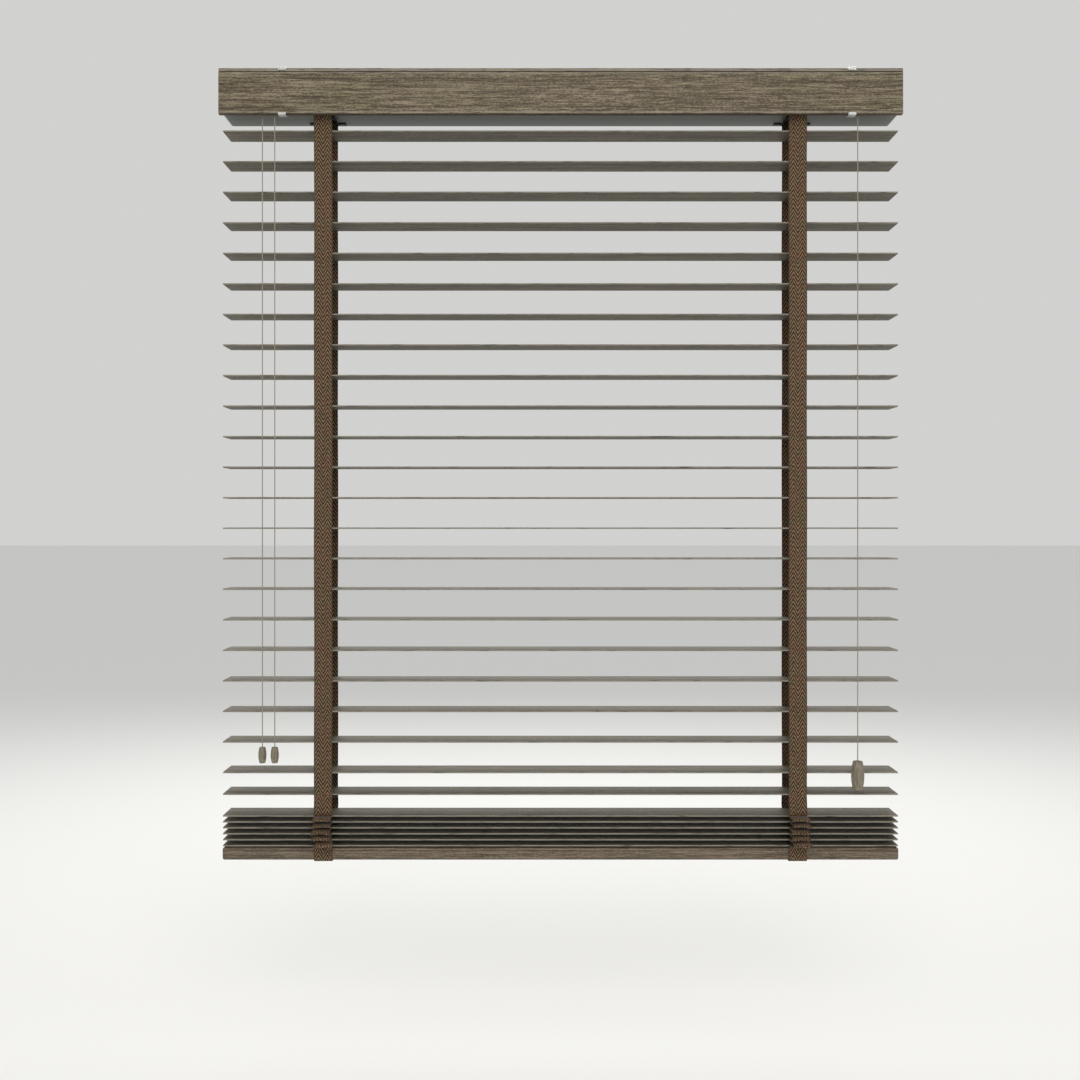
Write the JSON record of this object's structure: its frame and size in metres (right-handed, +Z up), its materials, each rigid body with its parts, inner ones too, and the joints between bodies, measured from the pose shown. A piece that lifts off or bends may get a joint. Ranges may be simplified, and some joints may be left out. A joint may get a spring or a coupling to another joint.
{
  "type": "wooden venetian blind with ladder tapes",
  "caption": "Partly raised wooden venetian blind with horizontal slats, fabric ladder tapes, valance, bottom rail, tilt cords and a lift cord with wooden tassels.",
  "frame": {"origin": "on the lintel plane, half way between the two brackets, over the middle of the headrail's depth", "axes": "+X to the right along the slats seen from the room, +Y towards the window, +Z up; the room side faces -Y"},
  "size_m": [0.975, 0.0761, 1.1373],
  "materials": {
    "slat_wood": "grey-brown stained basswood with fine brushed grain, satin lacquer",
    "trim_wood": "grey-brown stained wood, slightly browner than the slats, satin lacquer",
    "tassel_wood": "light turned wood, satin",
    "headrail_paint": "dark olive-grey enamel, semi-gloss",
    "zinc_steel": "zinc-plated",
    "black_plastic": "moulded, matt",
    "clear_plastic": "clear moulded polycarbonate",
    "tape_fabric": "brown herringbone woven ladder tape",
    "cord_fabric": "beige braided polyester cord"
  },
  "bodies": {
    "headrail_assembly": {"headrail": "headrail_paint", "end_cap_left": "zinc_steel", "end_cap_right": "zinc_steel", "bracket_left": "zinc_steel", "bracket_right": "zinc_steel", "cradle_left": "black_plastic", "cradle_right": "black_plastic", "tilter_housing": "black_plastic", "cord_lock_housing": "black_plastic", "valance": "trim_wood", "valance_clip_left": "clear_plastic", "valance_clip_right": "clear_plastic", "lift_cord_left": "cord_fabric", "lift_cord_right": "cord_fabric", "lift_pull_cord": "cord_fabric", "tilt_cord_left": "cord_fabric", "tilt_cord_right": "cord_fabric"},
    "tilt_shaft": {"tilt_rod": "zinc_steel", "tape_rocker_left": "black_plastic", "tape_rocker_right": "black_plastic", "tilter_gear": "black_plastic"},
    "tilter_screw": {"tilter_worm": "black_plastic"},
    "front_tapes": {"tape_front_left": "tape_fabric", "tape_front_right": "tape_fabric"},
    "back_tapes": {"tape_back_left": "tape_fabric", "tape_back_right": "tape_fabric"},
    "lock_roller": {"cord_lock_roller": "zinc_steel"},
    "tilt_tassel_a": {"tilt_tassel_left": "tassel_wood"},
    "tilt_tassel_b": {"tilt_tassel_right": "tassel_wood"},
    "lift_handle": {"lift_tassel": "tassel_wood"},
    "bottom_rail_body": {"bottom_rail": "trim_wood"},
    "slat_01_body": {"slat_01": "slat_wood"},
    "slat_02_body": {"slat_02": "slat_wood"},
    "slat_03_body": {"slat_03": "slat_wood"},
    "slat_04_body": {"slat_04": "slat_wood"},
    "slat_05_body": {"slat_05": "slat_wood"},
    "slat_06_body": {"slat_06": "slat_wood"},
    "slat_07_body": {"slat_07": "slat_wood"},
    "slat_08_body": {"slat_08": "slat_wood"},
    "slat_09_body": {"slat_09": "slat_wood"},
    "slat_10_body": {"slat_10": "slat_wood"},
    "slat_11_body": {"slat_11": "slat_wood"},
    "slat_12_body": {"slat_12": "slat_wood"},
    "slat_13_body": {"slat_13": "slat_wood"},
    "slat_14_body": {"slat_14": "slat_wood"},
    "slat_15_body": {"slat_15": "slat_wood"},
    "slat_16_body": {"slat_16": "slat_wood"},
    "slat_17_body": {"slat_17": "slat_wood"},
    "slat_18_body": {"slat_18": "slat_wood"},
    "slat_19_body": {"slat_19": "slat_wood"},
    "slat_20_body": {"slat_20": "slat_wood"},
    "slat_21_body": {"slat_21": "slat_wood"},
    "slat_22_body": {"slat_22": "slat_wood"},
    "slat_23_body": {"slat_23": "slat_wood"},
    "slat_24_body": {"slat_24": "slat_wood"},
    "slat_25_body": {"slat_25": "slat_wood"},
    "slat_26_body": {"slat_26": "slat_wood"},
    "slat_27_body": {"slat_27": "slat_wood"},
    "slat_28_body": {"slat_28": "slat_wood"},
    "slat_29_body": {"slat_29": "slat_wood"}
  },
  "joints": [
    {"name": "tilt", "type": "hinge", "parent": "headrail_assembly", "child": "tilt_shaft", "pos_m": [0, 0, -0.03461], "axis": [1, 0, 0], "range_deg": [-62.3, 62.3]},
    {"name": "lift", "type": "slide", "parent": "headrail_assembly", "child": "bottom_rail_body", "axis": [0, 0, 1], "range_m": [-0.2222, 0], "deforming": ["lift_cord_left", "lift_cord_right", "tape_front_left", "tape_front_right", "tape_back_left", "tape_back_right"]},
    {"name": "tilter_screw_turn", "type": "hinge", "parent": "headrail_assembly", "child": "tilter_screw", "pos_m": [-0.418, 0, -0.04961], "axis": [0, 1, 0], "range_deg": [-748.2, 748.2]},
    {"name": "tilt_tassel_left_travel", "type": "slide", "parent": "headrail_assembly", "child": "tilt_tassel_a", "axis": [0, 0, 1], "range_m": [-0.1159, 0.1159], "deforming": ["tilt_cord_left"]},
    {"name": "tilt_tassel_right_travel", "type": "slide", "parent": "headrail_assembly", "child": "tilt_tassel_b", "axis": [0, 0, 1], "range_m": [-0.1159, 0.1159], "deforming": ["tilt_cord_right"]},
    {"name": "front_tapes_pivot", "type": "hinge", "parent": "tilt_shaft", "child": "front_tapes", "pos_m": [0, -0.026, -0.03461], "axis": [1, 0, 0], "range_deg": [-62.3, 62.3]},
    {"name": "back_tapes_pivot", "type": "hinge", "parent": "tilt_shaft", "child": "back_tapes", "pos_m": [0, 0.026, -0.03461], "axis": [1, 0, 0], "range_deg": [-62.3, 62.3]},
    {"name": "slat_01_tilt", "type": "hinge", "parent": "headrail_assembly", "child": "slat_01_body", "pos_m": [0, 0, -0.08623], "axis": [1, 0, 0], "range_deg": [-65.08, 65.08]},
    {"name": "slat_02_tilt", "type": "hinge", "parent": "headrail_assembly", "child": "slat_02_body", "pos_m": [0, 0, -0.13023], "axis": [1, 0, 0], "range_deg": [-65.08, 65.08]},
    {"name": "slat_03_tilt", "type": "hinge", "parent": "headrail_assembly", "child": "slat_03_body", "pos_m": [0, 0, -0.17423], "axis": [1, 0, 0], "range_deg": [-65.08, 65.08]},
    {"name": "slat_04_tilt", "type": "hinge", "parent": "headrail_assembly", "child": "slat_04_body", "pos_m": [0, 0, -0.21823], "axis": [1, 0, 0], "range_deg": [-65.08, 65.08]},
    {"name": "slat_05_tilt", "type": "hinge", "parent": "headrail_assembly", "child": "slat_05_body", "pos_m": [0, 0, -0.26223], "axis": [1, 0, 0], "range_deg": [-65.08, 65.08]},
    {"name": "slat_06_tilt", "type": "hinge", "parent": "headrail_assembly", "child": "slat_06_body", "pos_m": [0, 0, -0.30623], "axis": [1, 0, 0], "range_deg": [-65.08, 65.08]},
    {"name": "slat_07_tilt", "type": "hinge", "parent": "headrail_assembly", "child": "slat_07_body", "pos_m": [0, 0, -0.35023], "axis": [1, 0, 0], "range_deg": [-65.08, 65.08]},
    {"name": "slat_08_tilt", "type": "hinge", "parent": "headrail_assembly", "child": "slat_08_body", "pos_m": [0, 0, -0.39423], "axis": [1, 0, 0], "range_deg": [-65.08, 65.08]},
    {"name": "slat_09_tilt", "type": "hinge", "parent": "headrail_assembly", "child": "slat_09_body", "pos_m": [0, 0, -0.43823], "axis": [1, 0, 0], "range_deg": [-65.08, 65.08]},
    {"name": "slat_10_tilt", "type": "hinge", "parent": "headrail_assembly", "child": "slat_10_body", "pos_m": [0, 0, -0.48223], "axis": [1, 0, 0], "range_deg": [-65.08, 65.08]},
    {"name": "slat_11_tilt", "type": "hinge", "parent": "headrail_assembly", "child": "slat_11_body", "pos_m": [0, 0, -0.52623], "axis": [1, 0, 0], "range_deg": [-65.08, 65.08]},
    {"name": "slat_12_tilt", "type": "hinge", "parent": "headrail_assembly", "child": "slat_12_body", "pos_m": [0, 0, -0.57023], "axis": [1, 0, 0], "range_deg": [-65.08, 65.08]},
    {"name": "slat_13_tilt", "type": "hinge", "parent": "headrail_assembly", "child": "slat_13_body", "pos_m": [0, 0, -0.61423], "axis": [1, 0, 0], "range_deg": [-65.08, 65.08]},
    {"name": "slat_14_tilt", "type": "hinge", "parent": "headrail_assembly", "child": "slat_14_body", "pos_m": [0, 0, -0.65823], "axis": [1, 0, 0], "range_deg": [-65.08, 65.08]},
    {"name": "slat_15_tilt", "type": "hinge", "parent": "headrail_assembly", "child": "slat_15_body", "pos_m": [0, 0, -0.70223], "axis": [1, 0, 0], "range_deg": [-65.08, 65.08]},
    {"name": "slat_16_tilt", "type": "hinge", "parent": "headrail_assembly", "child": "slat_16_body", "pos_m": [0, 0, -0.74623], "axis": [1, 0, 0], "range_deg": [-65.08, 65.08]},
    {"name": "slat_17_tilt", "type": "hinge", "parent": "headrail_assembly", "child": "slat_17_body", "pos_m": [0, 0, -0.79023], "axis": [1, 0, 0], "range_deg": [-65.08, 65.08]},
    {"name": "slat_18_tilt", "type": "hinge", "parent": "headrail_assembly", "child": "slat_18_body", "pos_m": [0, 0, -0.83423], "axis": [1, 0, 0], "range_deg": [-65.08, 65.08]},
    {"name": "slat_19_tilt", "type": "hinge", "parent": "headrail_assembly", "child": "slat_19_body", "pos_m": [0, 0, -0.87823], "axis": [1, 0, 0], "range_deg": [-65.08, 65.08]},
    {"name": "slat_20_tilt", "type": "hinge", "parent": "headrail_assembly", "child": "slat_20_body", "pos_m": [0, 0, -0.92223], "axis": [1, 0, 0], "range_deg": [-65.08, 65.08]},
    {"name": "slat_21_tilt", "type": "hinge", "parent": "headrail_assembly", "child": "slat_21_body", "pos_m": [0, 0, -0.96623], "axis": [1, 0, 0], "range_deg": [-65.08, 65.08]},
    {"name": "slat_22_tilt", "type": "hinge", "parent": "headrail_assembly", "child": "slat_22_body", "pos_m": [0, 0, -1.01023], "axis": [1, 0, 0], "range_deg": [-65.08, 65.08]},
    {"name": "slat_23_tilt", "type": "hinge", "parent": "headrail_assembly", "child": "slat_23_body", "pos_m": [0, 0, -1.04153], "axis": [1, 0, 0], "range_deg": [-65.08, 65.08]},
    {"name": "slat_24_drop", "type": "slide", "parent": "headrail_assembly", "child": "slat_24_body", "axis": [0, 0, 1], "range_m": [-0.013, 0]},
    {"name": "slat_25_drop", "type": "slide", "parent": "headrail_assembly", "child": "slat_25_body", "axis": [0, 0, 1], "range_m": [-0.0484, 0]},
    {"name": "slat_26_drop", "type": "slide", "parent": "headrail_assembly", "child": "slat_26_body", "axis": [0, 0, 1], "range_m": [-0.0839, 0]},
    {"name": "slat_27_drop", "type": "slide", "parent": "headrail_assembly", "child": "slat_27_body", "axis": [0, 0, 1], "range_m": [-0.1193, 0]},
    {"name": "slat_28_drop", "type": "slide", "parent": "headrail_assembly", "child": "slat_28_body", "axis": [0, 0, 1], "range_m": [-0.1548, 0]},
    {"name": "slat_29_drop", "type": "slide", "parent": "headrail_assembly", "child": "slat_29_body", "axis": [0, 0, 1], "range_m": [-0.1902, 0]},
    {"name": "lift_tassel_travel", "type": "slide", "parent": "headrail_assembly", "child": "lift_handle", "axis": [0, 0, 1], "range_m": [0, 0.2222], "deforming": ["lift_pull_cord"]},
    {"name": "lock_roller_turn", "type": "hinge", "parent": "headrail_assembly", "child": "lock_roller", "pos_m": [0.4253, -0.0096, -0.05003], "axis": [0, 1, 0], "range_deg": [0, 3184]}
  ],
  "couplings": [
    {"joint": "tilter_screw_turn", "follows": "tilt", "ratio": 12},
    {"joint": "tilt_tassel_left_travel", "follows": "tilt", "m_per_rad": 0.1062},
    {"joint": "tilt_tassel_right_travel", "follows": "tilt", "m_per_rad": -0.1062},
    {"joint": "front_tapes_pivot", "follows": "tilt", "ratio": -1},
    {"joint": "back_tapes_pivot", "follows": "tilt", "ratio": -1},
    {"joint": "slat_01_tilt", "follows": "tilt", "ratio": 1.0438},
    {"joint": "slat_02_tilt", "follows": "tilt", "ratio": 1.0438},
    {"joint": "slat_03_tilt", "follows": "tilt", "ratio": 1.0438},
    {"joint": "slat_04_tilt", "follows": "tilt", "ratio": 1.0438},
    {"joint": "slat_05_tilt", "follows": "tilt", "ratio": 1.0438},
    {"joint": "slat_06_tilt", "follows": "tilt", "ratio": 1.0438},
    {"joint": "slat_07_tilt", "follows": "tilt", "ratio": 1.0438},
    {"joint": "slat_08_tilt", "follows": "tilt", "ratio": 1.0438},
    {"joint": "slat_09_tilt", "follows": "tilt", "ratio": 1.0438},
    {"joint": "slat_10_tilt", "follows": "tilt", "ratio": 1.0438},
    {"joint": "slat_11_tilt", "follows": "tilt", "ratio": 1.0438},
    {"joint": "slat_12_tilt", "follows": "tilt", "ratio": 1.0438},
    {"joint": "slat_13_tilt", "follows": "tilt", "ratio": 1.0438},
    {"joint": "slat_14_tilt", "follows": "tilt", "ratio": 1.0438},
    {"joint": "slat_15_tilt", "follows": "tilt", "ratio": 1.0438},
    {"joint": "slat_16_tilt", "follows": "tilt", "ratio": 1.0438},
    {"joint": "slat_17_tilt", "follows": "tilt", "ratio": 1.0438},
    {"joint": "slat_18_tilt", "follows": "tilt", "ratio": 1.0438},
    {"joint": "slat_19_tilt", "follows": "tilt", "ratio": 1.0438},
    {"joint": "slat_20_tilt", "follows": "tilt", "ratio": 1.0438},
    {"joint": "slat_21_tilt", "follows": "tilt", "ratio": 1.0438},
    {"joint": "slat_22_tilt", "follows": "tilt", "ratio": 1.0438},
    {"joint": "slat_23_tilt", "follows": "tilt", "ratio": 1.0438},
    {"joint": "slat_24_drop", "follows": "lift", "ratio": 0.057606},
    {"joint": "slat_25_drop", "follows": "lift", "ratio": 0.2171},
    {"joint": "slat_26_drop", "follows": "lift", "ratio": 0.3766},
    {"joint": "slat_27_drop", "follows": "lift", "ratio": 0.53609},
    {"joint": "slat_28_drop", "follows": "lift", "ratio": 0.69559},
    {"joint": "slat_29_drop", "follows": "lift", "ratio": 0.85509},
    {"joint": "lift_tassel_travel", "follows": "lift", "ratio": -1},
    {"joint": "lock_roller_turn", "follows": "lift", "rad_per_m": -250}
  ]
}
